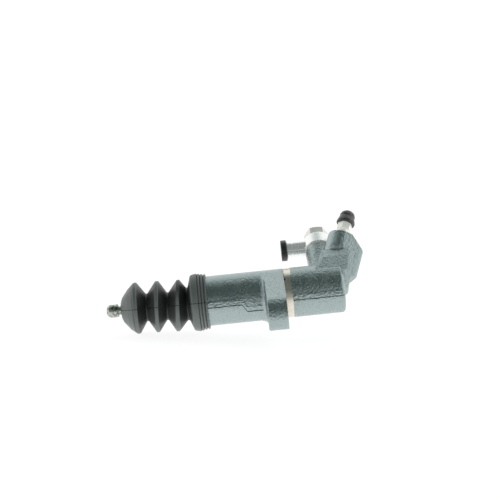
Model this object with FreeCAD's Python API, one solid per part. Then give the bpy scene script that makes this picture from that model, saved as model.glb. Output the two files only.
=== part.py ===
# Clutch slave cylinder: an iron cylinder with a two-eared flange, a rubber
# bellows boot, a push rod, a bleeder on a slanted arm and a union on its inlet.
#
# Millimetres. +X runs along the cylinder axis from the rod tip to the closed
# end, +Z is up. The origin is midway between the two flange holes, on the
# flange's machined face, and the cylinder axis lies axis_rise above it.

import FreeCAD
import Part
import math
import os

Vector = FreeCAD.Vector

# Flange with its two ears, and the machined pilot beside it
ear_spacing = 62.0
ear_hole_r = 4.5
ear_r = 10.5
axis_rise = 5.0
flange_thickness = 12.0
flange_edge_round = 1.0
flange_belly = 0.1
flange_root_fillet = 3.2
pilot_r = 15.2
pilot_length = 4.6

# Barrel
barrel_r = 15.6
barrel_tail = 36.6
tail_round = 2.2
mouth_reach = 57.0
mouth_lip_r = 15.0
mouth_lip_width = 2.4
cuff_groove_r = 14.2
cuff_groove_width = 3.6
parting_drop_front = 5.0
parting_drop_tail = 1.8
parting_step = 0.35

# Bore and what stops the piston in it
bore_r = 10.32
bore_bottom = 31.5
bore_lead_in = 1.2
ring_groove_from_mouth = 7.6
ring_groove_depth = 0.9
ring_wire_r = 0.6
ring_gap_deg = 40.0
ring_side_clearance = 0.1

# Piston, cups and spring
piston_clearance = 0.05
piston_length = 24.0
piston_rear_gap = 0.3
piston_land = 3.0
piston_waist_depth = 1.4
cup_groove_width = 4.0
cup_groove_depth = 2.9
cup_clearance = 0.03
cup_side_clearance = 0.05
cup_lip_thickness = 1.2
cup_lip_depth = 1.7
spring_nub_r = 4.0
spring_nub_length = 3.0
spring_wire_r = 0.55
spring_small_r = 4.9
spring_large_r = 9.0
spring_turns = 7
spring_end_clearance = 0.15

# Push rod
rod_past_nose = 8.6
rod_tip_r = 4.0
rod_tip_length = 7.4
rod_nose_round = 2.9
rod_neck_r = 2.75
rod_neck_length = 4.8
rod_shank_r = 3.5
rod_ball_r = 4.0
ball_depth = 11.0
socket_clearance = 0.05
socket_flare_r = 7.0

# Boot
boot_wall = 1.1
boot_pitch = 12.75
first_rim_past_mouth = 9.4
boot_rim_count = 3
boot_rim_r = 15.8
boot_rim_width = 1.9
boot_rim_round = 0.6
boot_valley_r = 9.0
boot_valley_round = 0.9
first_valley_gap = 6.3
first_valley_r = 10.2
cuff_r = 18.0
cuff_past_mouth = 1.7
cuff_grip = 9.2
cuff_band = 5.0
cuff_rib_pitch = 1.9
cuff_rib_count = 3
cuff_rib_depth = 0.7
cuff_end_r = 16.7
cuff_clearance = 0.1
dome_bulge_gap = 5.4
dome_bulge_r = 13.4
dome_bulge_round = 5.0
dome_shoulder_gap = 9.3
dome_shoulder_r = 9.6
nose_past_rim = 10.3
nose_r = 7.2
nose_wall = 3.0
nose_clearance = 0.15

# Inlet boss and its union
boss_station = 25.0
boss_roll = 58.0
boss_foot_r = 7.4
boss_top_r = 8.5
boss_height = 33.8
boss_root_fillet = 2.5
port_thread_r = 5.05
port_depth = 14.0
feed_r = 1.5
washer_thickness = 1.5
washer_r = 8.3
washer_hole_r = 5.3
eye_r = 9.5
eye_thickness = 9.0
eye_edge = 0.8
eye_hole_r = 5.3
spot_face_clearance = 0.4
stub_r = 5.5
stub_reach = 4.9
stub_groove_depth = 0.5
stub_groove_width = 0.9
stub_groove_from_end = 3.0
stub_port_r = 4.2
stub_port_depth = 9.0
stub_passage_r = 1.6
seat_length = 3.0
seat_cone_r = 3.0
bolt_shank_r = 5.0
bolt_reach = 12.0
bolt_hex_flats = 14.0
bolt_hex_height = 6.6
bolt_hex_chamfer = 0.9

# Transit plug on the stub
plug_r = 6.75
plug_thickness = 3.7
plug_edge_round = 0.6
plug_lip_clearance = 0.1
plug_spigot_length = 4.5
plug_spigot_clearance = 0.05

# Bleeder arm
arm_station = 26.9
arm_roll = 40.0
arm_tilt = 20.0
arm_foot = -3.0
arm_top = 38.4
arm_foot_r = 10.1
arm_top_r = 8.55
arm_root_fillet = 2.5
arm_fillet_of_stand = 0.15
arm_fillet_of_step = 0.545
fin_round = 3.0
fin_reach = 15.4
fin_chamfer_start = 6.9
fin_shoulder = 30.5
fin_notch_top = 13.6
fin_notch_reach = 12.4
fin_notch_foot = 9.3
pad_foot = 2.2
shelf_wall_y = 9.1
shelf_wall_foot = 23.0
shelf_lip_y = 3.0
shelf_lip_top = 20.0
shelf_lip_height = 2.3
shelf_lip_proud = 4.0
shelf_start = 26.2
shelf_end = 41.5

# Bleeder and its cap
bleed_thread_r = 4.05
bleed_screw_r = 4.0
bleed_hole_foot = 24.0
bleed_seat_depth = 2.5
bleed_relief_r = 2.8
bleed_relief_length = 3.6
bleed_seat_gap = 0.15
bleed_tip_r = 1.0
bleed_drill_r = 0.9
hex_stand_off = 4.9
bleed_hex_flats = 8.0
bleed_hex_height = 5.0
nipple_r = 3.3
nipple_waist_r = 2.7
nipple_length = 7.2
cap_r = 5.85
cap_rim_gap = 0.2
cap_length = 9.2
cap_bore_clearance = 0.3
cap_waist_r = 4.7
cap_waist_from_top = 4.3
cap_dome_r = 3.9

# Places that follow from the sizes above
barrel_axis = Vector(0, 0, axis_rise)
along_x = Vector(1, 0, 0)
boss_base = barrel_axis + Vector(boss_station, 0, 0)
boss_up = Vector(0, math.sin(math.radians(boss_roll)), math.cos(math.radians(boss_roll)))
arm_base = barrel_axis + Vector(arm_station, 0, 0)
arm_radial = Vector(0, math.sin(math.radians(arm_roll)), math.cos(math.radians(arm_roll)))
arm_up = arm_radial * math.cos(math.radians(arm_tilt)) + along_x * math.sin(math.radians(arm_tilt))
arm_side = along_x * math.cos(math.radians(arm_tilt)) - arm_radial * math.sin(math.radians(arm_tilt))
ring_groove_r = bore_r + ring_groove_depth
ring_groove_width = 2 * (ring_wire_r + ring_side_clearance)
ring_station = -mouth_reach + ring_groove_from_mouth
piston_rear = ring_station + ring_wire_r + piston_rear_gap
piston_front = piston_rear + piston_length
piston_r = bore_r - piston_clearance
ball_station = piston_rear + ball_depth
cuff_left = mouth_reach + cuff_past_mouth
cuff_right = mouth_reach - cuff_grip
boot_rim_reach = mouth_reach + first_rim_past_mouth
last_rim_reach = boot_rim_reach + (boot_rim_count - 1) * boot_pitch
nose_reach = last_rim_reach + nose_past_rim
rod_reach = nose_reach + rod_past_nose
lower_washer_top = boss_height + washer_thickness
eye_middle = lower_washer_top + eye_thickness / 2
eye_top = lower_washer_top + eye_thickness
bolt_seat = eye_top + washer_thickness


def frame_placement(base, along, side=None):
    """Placement that turns +X to the direction along and +Y to side, at base."""
    if side is None:
        helper = Vector(0, 1, 0) if abs(along.y) < 0.9 else Vector(0, 0, 1)
        side = helper - along * helper.dot(along)
    side = side / side.Length
    third = along.cross(side)
    matrix = FreeCAD.Matrix(
        along.x, side.x, third.x, base.x,
        along.y, side.y, third.y, base.y,
        along.z, side.z, third.z, base.z,
        0, 0, 0, 1)
    return FreeCAD.Placement(matrix)


def outline(corners):
    """Closed face through corners (a, b) or (a, b, radius), rounded by tangent arcs."""
    points = [Vector(c[0], c[1], 0) for c in corners]
    radii = [c[2] if len(c) > 2 else 0.0 for c in corners]
    count = len(points)
    starts = []
    ends = []
    middles = []
    for i in range(count):
        corner = points[i]
        if radii[i] == 0.0:
            starts.append(corner)
            ends.append(corner)
            middles.append(None)
            continue
        back = points[i - 1] - corner
        ahead = points[(i + 1) % count] - corner
        back.normalize()
        ahead.normalize()
        half = back.getAngle(ahead) / 2
        cut = radii[i] / math.tan(half)
        bisector = back + ahead
        bisector.normalize()
        starts.append(corner + back * cut)
        ends.append(corner + ahead * cut)
        middles.append(corner + bisector * (radii[i] / math.sin(half) - radii[i]))
    edges = []
    for i in range(count):
        if middles[i] is not None:
            edges.append(Part.Arc(starts[i], middles[i], ends[i]).toShape())
        following = starts[(i + 1) % count]
        if (following - ends[i]).Length > 1e-6:
            edges.append(Part.LineSegment(ends[i], following).toShape())
    return Part.Face(Part.Wire(edges))


def turned(corners, base=barrel_axis, along=along_x):
    """Solid of revolution from corners (distance along, radius[, round])."""
    solid = outline(corners).revolve(Vector(0, 0, 0), Vector(1, 0, 0), 360)
    solid.Placement = frame_placement(base, along)
    return solid


def rod(radius, start, end, base=barrel_axis, along=along_x):
    """Plain cylinder between two distances along a line."""
    return Part.makeCylinder(radius, end - start, base + along * start, along)


def hexagon(flats, start, end, chamfer, base, along, chamfer_both=False):
    """Hexagon bar along a line, its far corners turned off at thirty degrees."""
    corner_r = flats / math.sqrt(3)
    points = []
    for i in range(7):
        turn = math.radians(60 * i + 30)
        points.append(Vector(0, corner_r * math.cos(turn), corner_r * math.sin(turn)))
    bar = Part.Face(Part.makePolygon(points)).extrude(Vector(end - start, 0, 0))
    bar.Placement = frame_placement(base + along * start, along)
    flat_r = flats / 2
    slope = math.tan(math.radians(30))
    rise = (corner_r - flat_r) * slope + chamfer * slope
    near = start + rise if chamfer_both else start
    near_r = flat_r - chamfer + rise / slope if chamfer_both else corner_r + 1
    keep = [(start, 0), (start, flat_r - chamfer if chamfer_both else corner_r + 1)]
    if chamfer_both:
        keep.append((near, near_r))
    keep += [(end - rise, flat_r - chamfer + rise / slope), (end, flat_r - chamfer), (end, 0)]
    return bar.common(turned(keep, base, along))


def ear_hull(half_spacing, ear_radius, middle_r, rise):
    """Face round the barrel circle and both ear circles, with straight tangents."""
    def tangent(centre_a, r_a, centre_b, r_b, side):
        run = centre_b - centre_a
        lean = math.acos((r_a - r_b) / run.Length) * side
        heading = math.atan2(run.y, run.x) + lean
        normal = Vector(math.cos(heading), math.sin(heading), 0)
        return centre_a + normal * r_a, centre_b + normal * r_b
    middle = Vector(0, rise, 0)
    left = Vector(-half_spacing, 0, 0)
    right = Vector(half_spacing, 0, 0)
    top_a, top_b = tangent(middle, middle_r, right, ear_radius, 1)
    low_a, low_b = tangent(middle, middle_r, right, ear_radius, -1)
    mirror = [Vector(-p.x, p.y, 0) for p in (top_a, top_b, low_a, low_b)]
    edges = [
        Part.LineSegment(top_a, top_b).toShape(),
        Part.Arc(top_b, right + Vector(ear_radius, 0, 0), low_b).toShape(),
        Part.LineSegment(low_b, low_a).toShape(),
        Part.Arc(low_a, middle - Vector(0, middle_r, 0), mirror[2]).toShape(),
        Part.LineSegment(mirror[2], mirror[3]).toShape(),
        Part.Arc(mirror[3], left - Vector(ear_radius, 0, 0), mirror[1]).toShape(),
        Part.LineSegment(mirror[1], mirror[0]).toShape(),
        Part.Arc(mirror[0], middle + Vector(0, middle_r, 0), top_a).toShape(),
    ]
    return Part.Face(Part.Wire(edges))


def flange():
    """Two-eared plate behind the seat face, rounded and filleted on the boot's side."""
    middle_r = max(barrel_r, axis_rise + ear_r + flange_belly)
    face = ear_hull(ear_spacing / 2, ear_r, middle_r, axis_rise)
    plate = face.extrude(Vector(0, 0, flange_thickness))
    cast_edges = [e for e in plate.Edges if e.BoundBox.ZMax < 1e-6]
    plate = plate.makeFillet(flange_edge_round, cast_edges)
    plate.Placement = frame_placement(Vector(-flange_thickness, 0, 0), Vector(0, 1, 0), Vector(0, 0, 1))
    root_start = -flange_thickness - flange_root_fillet
    root = turned([
        (root_start, barrel_r - 1),
        (root_start, barrel_r),
        (-flange_thickness, barrel_r, flange_root_fillet * 0.98),
        (-flange_thickness, barrel_r + flange_root_fillet),
        (-flange_thickness / 2, barrel_r + flange_root_fillet),
        (-flange_thickness / 2, barrel_r - 1)])
    reach = face.extrude(Vector(0, 0, flange_thickness + flange_root_fillet))
    reach.Placement = frame_placement(Vector(root_start, 0, 0), Vector(0, 1, 0), Vector(0, 0, 1))
    return plate.fuse(root.common(reach))


def barrel_half(radius, upper):
    """Barrel profile at one radius, kept above or below the parting plane."""
    shape = turned([
        (-mouth_reach, 0),
        (-mouth_reach, mouth_lip_r, 0.5),
        (-mouth_reach + mouth_lip_width, mouth_lip_r),
        (-mouth_reach + mouth_lip_width, cuff_groove_r),
        (-mouth_reach + mouth_lip_width + cuff_groove_width, cuff_groove_r),
        (-mouth_reach + mouth_lip_width + cuff_groove_width, radius),
        (-flange_thickness / 2, radius),
        (-flange_thickness / 2, pilot_r),
        (pilot_length, pilot_r),
        (pilot_length, radius),
        (barrel_tail, radius, tail_round),
        (barrel_tail, 0)])
    reach = mouth_reach + barrel_tail
    width = 4 * barrel_r
    front_split = axis_rise - parting_drop_front
    tail_split = axis_rise - parting_drop_tail
    boxes = []
    for start, end, split in ((-reach, 0.0, front_split), (0.0, reach, tail_split)):
        base = split if upper else split - width
        boxes.append(Part.makeBox(end - start, width, width, Vector(start, -width / 2, base)))
    return shape.common(boxes[0].fuse(boxes[1]))


def arm_section(radius, height):
    """Teardrop wire across the arm: a round column with a fin towards the tail."""
    fin_centre = fin_reach - fin_round
    lean = math.acos((radius - fin_round) / fin_centre)
    ends = []
    for side in (1, -1):
        normal = Vector(math.cos(lean), side * math.sin(lean), 0)
        ends.append((normal * radius, Vector(fin_centre, 0, 0) + normal * fin_round))
    (upper_a, upper_b), (lower_a, lower_b) = ends
    edges = [
        Part.Arc(lower_a, Vector(-radius, 0, 0), upper_a).toShape(),
        Part.LineSegment(upper_a, upper_b).toShape(),
        Part.Arc(upper_b, Vector(fin_reach, 0, 0), lower_b).toShape(),
        Part.LineSegment(lower_b, lower_a).toShape(),
    ]
    wire = Part.Wire(edges)
    wire.translate(Vector(0, 0, height))
    return wire


def arm_column(proud):
    """Drafted teardrop column, its fin cut back in side view, grown by proud."""
    foot = arm_section(arm_foot_r + proud, arm_foot)
    top = arm_section(arm_top_r + proud, arm_top)
    column = Part.makeLoft([foot, top], True, True)
    side_view = [
        (-2 * arm_foot_r, arm_foot),
        (pad_foot + arm_foot_r - 4, arm_foot),
        (fin_notch_reach, pad_foot, 1.5),
        (fin_notch_reach - 0.6, fin_notch_foot, 1.5),
        (fin_reach + 0.6, fin_notch_top, 1.0),
        (fin_reach + 0.2, fin_shoulder, 1.5),
        (fin_chamfer_start, arm_top),
        (-2 * arm_foot_r, arm_top)]
    side = outline(side_view)
    side.rotate(Vector(0, 0, 0), Vector(1, 0, 0), 90)
    side.translate(Vector(0, 2 * arm_foot_r, 0))
    column = column.common(side.extrude(Vector(0, -4 * arm_foot_r, 0)))
    third = arm_up.cross(arm_side)
    matrix = FreeCAD.Matrix(
        arm_side.x, third.x, arm_up.x, arm_base.x,
        arm_side.y, third.y, arm_up.y, arm_base.y,
        arm_side.z, third.z, arm_up.z, arm_base.z,
        0, 0, 0, 1)
    column.Placement = FreeCAD.Placement(matrix)
    return column


def with_shelf(casting):
    """The casting with a flat shelf cut in the arm's front above a straight lip."""
    fall = (shelf_wall_foot - shelf_lip_top) / (shelf_wall_y - shelf_lip_y)
    far_y = -2 * arm_foot_r
    far_z = shelf_wall_foot - (shelf_wall_y - far_y) * fall
    lip = [
        (shelf_lip_y, shelf_lip_top - shelf_lip_height),
        (shelf_lip_y, shelf_lip_top),
        (shelf_wall_y + 1, shelf_wall_foot),
        (shelf_wall_y + 1, shelf_lip_top - shelf_lip_height)]
    notch = [
        (shelf_wall_y, shelf_wall_foot),
        (shelf_wall_y, arm_top + arm_foot_r),
        (far_y, arm_top + arm_foot_r),
        (far_y, far_z)]
    lip_bar = yz_bar(lip, shelf_start, shelf_end).common(arm_column(shelf_lip_proud))
    cutter = yz_bar(notch, arm_station - arm_foot_r, barrel_tail + 2 * fin_reach)
    return casting.fuse(lip_bar).cut(cutter)


def seam_edges(solid, first, second):
    """Edges of a fused solid that lie on the skins of both shapes it came from."""
    found = []
    for edge in solid.Edges:
        span = edge.LastParameter - edge.FirstParameter
        spots = [edge.valueAt(edge.FirstParameter + span * share) for share in (0.2, 0.5, 0.8)]
        if all(first.isInside(p, 1e-3, True) and second.isInside(p, 1e-3, True) for p in spots):
            found.append(edge)
    return found


def grown_from(trunk, branch, fillet):
    """Trunk and branch as one casting, with a fillet along the seam between them."""
    joined = trunk.fuse(branch).removeSplitter()
    return joined.makeFillet(fillet, seam_edges(joined, trunk, branch))


def yz_bar(corners, start, end):
    """Bar along X over a polygon of (y, height above the barrel axis)."""
    points = [Vector(start, y, axis_rise + z) for y, z in corners]
    points.append(points[0])
    return Part.Face(Part.makePolygon(points)).extrude(Vector(end - start, 0, 0))


def cylinder_body():
    """The iron casting with its machined bore, ports, seats and flange holes."""
    barrel = barrel_half(barrel_r, True).fuse(barrel_half(barrel_r - parting_step, False))
    boss = turned([
        (0, 0), (0, boss_foot_r), (boss_height, boss_top_r, 0.5), (boss_height, 0)],
        boss_base, boss_up)
    solid = grown_from(barrel, boss, boss_root_fillet)
    arm_fillet = min(
        arm_root_fillet,
        arm_fillet_of_stand * (boss_height - barrel_r),
        arm_fillet_of_step * abs(arm_top - boss_height))
    solid = grown_from(solid, arm_column(0.0), arm_fillet)
    solid = with_shelf(solid).fuse(flange())
    bore = turned([
        (-mouth_reach - 1, 0),
        (-mouth_reach - 1, bore_r + bore_lead_in + 1),
        (-mouth_reach + bore_lead_in, bore_r),
        (bore_bottom, bore_r, 1.0),
        (bore_bottom, 0)])
    ring_groove = rod(ring_groove_r, ring_station - ring_groove_width / 2,
                      ring_station + ring_groove_width / 2)
    port = rod(port_thread_r, boss_height - port_depth, boss_height + 1, boss_base, boss_up)
    feed = rod(feed_r, 0, boss_height, boss_base, boss_up)
    bleed = turned([
        (0, 0),
        (0, feed_r),
        (bleed_hole_foot - bleed_seat_depth, feed_r),
        (bleed_hole_foot, bleed_thread_r),
        (arm_top + 1, bleed_thread_r),
        (arm_top + 1, 0)],
        arm_base, arm_up)
    for cutter in (bore, ring_groove, port, feed, bleed):
        solid = solid.cut(cutter)
    for side in (-1, 1):
        hole_base = Vector(0, side * ear_spacing / 2, 0)
        solid = solid.cut(rod(ear_hole_r, -flange_thickness - 1, 1, hole_base))
    return solid.removeSplitter()


def cup_profile(groove_start, floor_r, lip_towards):
    """Corners of a rubber cup in a piston groove, its lip facing one way."""
    near = groove_start + cup_side_clearance
    far = groove_start + cup_groove_width - cup_side_clearance
    if lip_towards < 0:
        near, far = far, near
    step = 1 if far > near else -1
    inner = floor_r + cup_clearance
    outer = bore_r - cup_clearance
    return [
        (near, inner),
        (near, outer - 0.5),
        (near + step * 0.6, outer),
        (far, outer),
        (far - step * 0.3, outer - cup_lip_thickness),
        (far - step * cup_lip_depth, outer - cup_lip_thickness - 0.3),
        (far - step * 1.0, inner)]


def cup_grooves():
    """Start of the secondary cup's groove and of the primary cup's groove."""
    return piston_rear + piston_land, piston_front - piston_land - cup_groove_width


def piston():
    """Aluminium piston with two cup grooves, a waist and the rod's ball seat."""
    rear_groove, front_groove = cup_grooves()
    floor_r = piston_r - cup_groove_depth
    waist_r = piston_r - piston_waist_depth
    waist_start = rear_groove + cup_groove_width + piston_land
    waist_end = front_groove - piston_land
    solid = turned([
        (piston_rear, 0),
        (piston_rear, piston_r, 0.4),
        (rear_groove, piston_r),
        (rear_groove, floor_r),
        (rear_groove + cup_groove_width, floor_r),
        (rear_groove + cup_groove_width, piston_r),
        (waist_start, piston_r),
        (waist_start + 1, waist_r),
        (waist_end - 1, waist_r),
        (waist_end, piston_r),
        (front_groove, piston_r),
        (front_groove, floor_r),
        (front_groove + cup_groove_width, floor_r),
        (front_groove + cup_groove_width, piston_r - 1.0),
        (piston_front, piston_r - 1.0, 0.5),
        (piston_front, spring_nub_r),
        (piston_front + spring_nub_length, spring_nub_r - 0.3, 0.6),
        (piston_front + spring_nub_length, 0)])
    seat_r = rod_ball_r + socket_clearance
    mouth = turned([
        (piston_rear - 1, 0),
        (piston_rear - 1, socket_flare_r + 0.3),
        (ball_station - 1, seat_r),
        (ball_station, seat_r),
        (ball_station, 0)])
    ball = Part.makeSphere(seat_r, barrel_axis + Vector(ball_station, 0, 0))
    return solid.cut(mouth.fuse(ball))


def push_rod():
    """Turned steel rod: round tip, thin neck for the boot, shank and ball end."""
    tip = -rod_reach
    tip_end = tip + rod_tip_length
    neck_end = tip_end + rod_neck_length
    body = turned([
        (tip, 0),
        (tip, rod_tip_r, rod_nose_round),
        (tip_end, rod_tip_r, 0.3),
        (tip_end, rod_neck_r),
        (neck_end, rod_neck_r),
        (neck_end + 0.6, rod_shank_r),
        (ball_station, rod_shank_r),
        (ball_station, 0)])
    return body.fuse(Part.makeSphere(rod_ball_r, barrel_axis + Vector(ball_station, 0, 0)))


def boot_outer():
    """Outer corners of the boot from the cuff's right end to the nose's hole."""
    rib_start = cuff_left - cuff_band
    corners = []
    for i in range(cuff_rib_count):
        near = cuff_right + (cuff_rib_count - 1 - i) * cuff_rib_pitch
        rib_r = cuff_end_r + (cuff_r - cuff_end_r) * (cuff_rib_count - i) / (cuff_rib_count + 1)
        corners.append((near, rib_r, i))
    out = []
    for near, rib_r, _ in reversed(corners):
        out.append((-near, rib_r - cuff_rib_depth * 0.4))
        out.append((-near - 0.35, rib_r, 0.3))
        out.append((-near - cuff_rib_pitch * 0.6, rib_r, 0.3))
        out.append((-near - cuff_rib_pitch * 0.75, rib_r - cuff_rib_depth))
    out.append((-rib_start + 0.1, cuff_r - cuff_rib_depth))
    out.append((-rib_start - 0.3, cuff_r, 0.4))
    out.append((-cuff_left, cuff_r, 0.8))
    first_valley = boot_rim_reach - first_valley_gap
    out.append((-first_valley, first_valley_r, boot_valley_round))
    dip = boot_valley_round * (math.sqrt(2) - 1)
    for i in range(boot_rim_count):
        rim = boot_rim_reach + i * boot_pitch
        out.append((-rim + boot_rim_width / 2, boot_rim_r, boot_rim_round))
        out.append((-rim - boot_rim_width / 2, boot_rim_r, boot_rim_round))
        if i < boot_rim_count - 1:
            out.append((-rim - boot_pitch / 2, boot_valley_r - dip, boot_valley_round))
    out.append((-last_rim_reach - dome_bulge_gap, dome_bulge_r, dome_bulge_round))
    out.append((-last_rim_reach - dome_shoulder_gap, dome_shoulder_r, 1.5))
    out.append((-nose_reach, nose_r, 0.8))
    out.append((-nose_reach, rod_neck_r + nose_clearance))
    return out


def boot_inner():
    """Inner corners of the boot from the nose's hole back to the cuff."""
    slant = boot_wall * math.sqrt(2)
    inside = []
    inside.append((-nose_reach + nose_wall, rod_neck_r + nose_clearance))
    inside.append((-nose_reach + nose_wall, nose_r, 0.8))
    inside.append((-last_rim_reach - dome_bulge_gap + boot_wall, dome_bulge_r - slant, dome_bulge_round))
    for i in reversed(range(boot_rim_count)):
        rim = boot_rim_reach + i * boot_pitch
        inside.append((-rim, boot_rim_r - slant + 0.3, 0.4))
        if i > 0:
            inside.append((-rim + boot_pitch / 2, boot_valley_r - slant, boot_valley_round + boot_wall))
    first_valley = boot_rim_reach - first_valley_gap
    face = mouth_reach + cuff_clearance
    inside.append((-first_valley, first_valley_r - slant, boot_valley_round))
    inside.append((-face, first_valley_r - 1.0))
    inside.append((-face, mouth_lip_r + cuff_clearance))
    lip_end = -mouth_reach + mouth_lip_width
    inside.append((lip_end + cuff_clearance, mouth_lip_r + cuff_clearance))
    inside.append((lip_end + cuff_clearance, cuff_groove_r + cuff_clearance))
    groove_end = lip_end + cuff_groove_width - cuff_clearance
    inside.append((groove_end, cuff_groove_r + cuff_clearance))
    inside.append((groove_end, barrel_r + cuff_clearance))
    inside.append((-cuff_right, barrel_r + cuff_clearance))
    return inside


def dust_boot():
    """Rubber bellows: ribbed cuff, sharp rims and a front dome with a nose."""
    return turned(boot_outer() + boot_inner())


def stop_ring():
    """Open wire ring in its groove near the mouth, behind the piston."""
    ring_r = ring_groove_r - ring_wire_r - 0.05
    ring = Part.makeTorus(ring_r, ring_wire_r, Vector(0, 0, 0), Vector(0, 0, 1),
                          -180, 180, 360 - ring_gap_deg)
    ring.rotate(Vector(0, 0, 0), Vector(0, 1, 0), 90)
    ring.translate(barrel_axis + Vector(ring_station, 0, 0))
    return ring


def return_spring():
    """Conical wire spring: each half turn is a tilted half ring, larger than the last."""
    start = piston_front + spring_wire_r + spring_end_clearance
    end = bore_bottom - spring_wire_r - spring_end_clearance
    half_turns = 2 * spring_turns
    climb = (end - start) / (half_turns - 2)
    growth = (spring_large_r - spring_small_r) / half_turns
    coil = None
    for i in range(half_turns):
        side = 1 if i % 2 == 0 else -1
        near_r = spring_small_r + growth * i
        far_r = near_r + growth
        near_x = start + climb * max(i - 1, 0)
        far_x = start + climb * min(i, half_turns - 2)
        near = Vector(near_x, 0, side * near_r)
        far = Vector(far_x, 0, -side * far_r)
        chord = far - near
        ring = Part.makeTorus(chord.Length / 2, spring_wire_r, Vector(0, 0, 0), Vector(0, 0, 1),
                              -180, 180, 180)
        across = chord / chord.Length
        sideways = Vector(0, side, 0)
        normal = across.cross(sideways)
        middle = barrel_axis + (near + far) / 2
        ring.Placement = FreeCAD.Placement(FreeCAD.Matrix(
            across.x, sideways.x, normal.x, middle.x,
            across.y, sideways.y, normal.y, middle.y,
            across.z, sideways.z, normal.z, middle.z,
            0, 0, 0, 1))
        coil = ring if coil is None else coil.fuse(ring)
    return coil


def bleeder_screw():
    """Bleeder: coned tip, cross drilling, screw shank, hexagon and barbed nipple."""
    tip_slope = bleed_seat_depth / (bleed_thread_r - feed_r)
    cone_top = bleed_hole_foot - (bleed_thread_r - bleed_relief_r) * tip_slope + bleed_seat_gap
    cone_foot = cone_top - (bleed_relief_r - bleed_tip_r) * tip_slope
    hex_foot = arm_top + hex_stand_off
    hex_top = hex_foot + bleed_hex_height
    nipple_top = hex_top + nipple_length
    shank = turned([
        (cone_foot, 0),
        (cone_foot, bleed_tip_r),
        (cone_top, bleed_relief_r),
        (cone_top + bleed_relief_length, bleed_relief_r),
        (cone_top + bleed_relief_length + 0.8, bleed_screw_r),
        (hex_foot - 0.6, bleed_screw_r),
        (hex_foot, bleed_screw_r - 0.5),
        (hex_top, bleed_screw_r - 0.5),
        (hex_top, nipple_waist_r),
        (nipple_top - 3.4, nipple_waist_r),
        (nipple_top - 3.0, nipple_r),
        (nipple_top, nipple_waist_r - 0.5),
        (nipple_top, 0)],
        arm_base, arm_up)
    head = hexagon(bleed_hex_flats, hex_foot, hex_top, 0.2, arm_base, arm_up, True)
    drilling = rod(bleed_drill_r, cone_top + 1.5, nipple_top + 1, arm_base, arm_up)
    cross_base = arm_base + arm_up * (cone_top + 1.5 + bleed_drill_r)
    cross = rod(bleed_drill_r, -bleed_relief_r - 1, bleed_relief_r + 1, cross_base, arm_side)
    return shank.fuse(head).cut(drilling).cut(cross)


def bleeder_cap():
    """Rubber cap: rim, waisted skirt and domed top over the nipple."""
    foot = arm_top + hex_stand_off + bleed_hex_height + cap_rim_gap
    top = foot + cap_length
    inner_r = nipple_r + cap_bore_clearance
    inner_top = foot + nipple_length - cap_rim_gap + cap_bore_clearance
    return turned([
        (foot, inner_r),
        (foot, cap_r, 0.3),
        (foot + 1.1, cap_r, 0.3),
        (top - cap_waist_from_top, cap_waist_r, 0.4),
        (top - cap_waist_from_top + 0.7, cap_waist_r + 0.25, 0.3),
        (top - 1.6, cap_dome_r + 0.35, 1.2),
        (top, cap_dome_r - 1.6, 1.4),
        (top, 0),
        (inner_top, 0),
        (inner_top, inner_r)],
        arm_base, arm_up)


def washer(foot):
    """Flat sealing washer round the union bolt."""
    return turned([
        (foot, washer_hole_r),
        (foot, washer_r, 0.25),
        (foot + washer_thickness, washer_r, 0.25),
        (foot + washer_thickness, washer_hole_r)],
        boss_base, boss_up)


def union_fitting():
    """Banjo eye with its stub tube along the barrel, drilled and counterbored."""
    eye = turned([
        (lower_washer_top, 0),
        (lower_washer_top, eye_r, eye_edge),
        (eye_top, eye_r, eye_edge),
        (eye_top, 0)],
        boss_base, boss_up)
    middle = boss_base + boss_up * eye_middle
    length = boss_station - stub_reach
    back = Vector(-1, 0, 0)
    groove = length - stub_groove_from_end
    stub = turned([
        (0, 0),
        (0, stub_r),
        (groove - stub_groove_width, stub_r),
        (groove - stub_groove_width, stub_r - stub_groove_depth),
        (groove, stub_r - stub_groove_depth),
        (groove, stub_r),
        (length, stub_r, 0.3),
        (length, 0)],
        middle, back)
    solid = eye.fuse(stub)
    eye_hole = rod(eye_hole_r, 0, eye_top + 1, boss_base, boss_up)
    gallery = turned([
        (lower_washer_top + 2.4, 0),
        (lower_washer_top + 2.4, eye_hole_r),
        (lower_washer_top + 3.2, eye_hole_r + 1.0),
        (eye_top - 3.2, eye_hole_r + 1.0),
        (eye_top - 2.4, eye_hole_r),
        (eye_top - 2.4, 0)],
        boss_base, boss_up)
    passage = rod(stub_passage_r, 0, length, middle, back)
    port = rod(stub_port_r, length - stub_port_depth, length + 1, middle, back)
    spot_r = washer_r + spot_face_clearance
    lower_spot = rod(spot_r, lower_washer_top - stub_r, lower_washer_top, boss_base, boss_up)
    upper_spot = rod(spot_r, eye_top, eye_top + stub_r, boss_base, boss_up)
    for cutter in (eye_hole, gallery, passage, port, lower_spot, upper_spot):
        solid = solid.cut(cutter)
    return solid


def tube_seat():
    """Turned flare seat pressed into the bottom of the stub's port."""
    middle = boss_base + boss_up * eye_middle
    back = Vector(-1, 0, 0)
    floor = boss_station - stub_reach - stub_port_depth
    return turned([
        (floor, stub_passage_r),
        (floor, stub_port_r - 0.02),
        (floor + seat_length / 3, stub_port_r - 0.02),
        (floor + seat_length / 3, seat_cone_r),
        (floor + seat_length, stub_passage_r + 0.4),
        (floor + seat_length, stub_passage_r)],
        middle, back)


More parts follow.
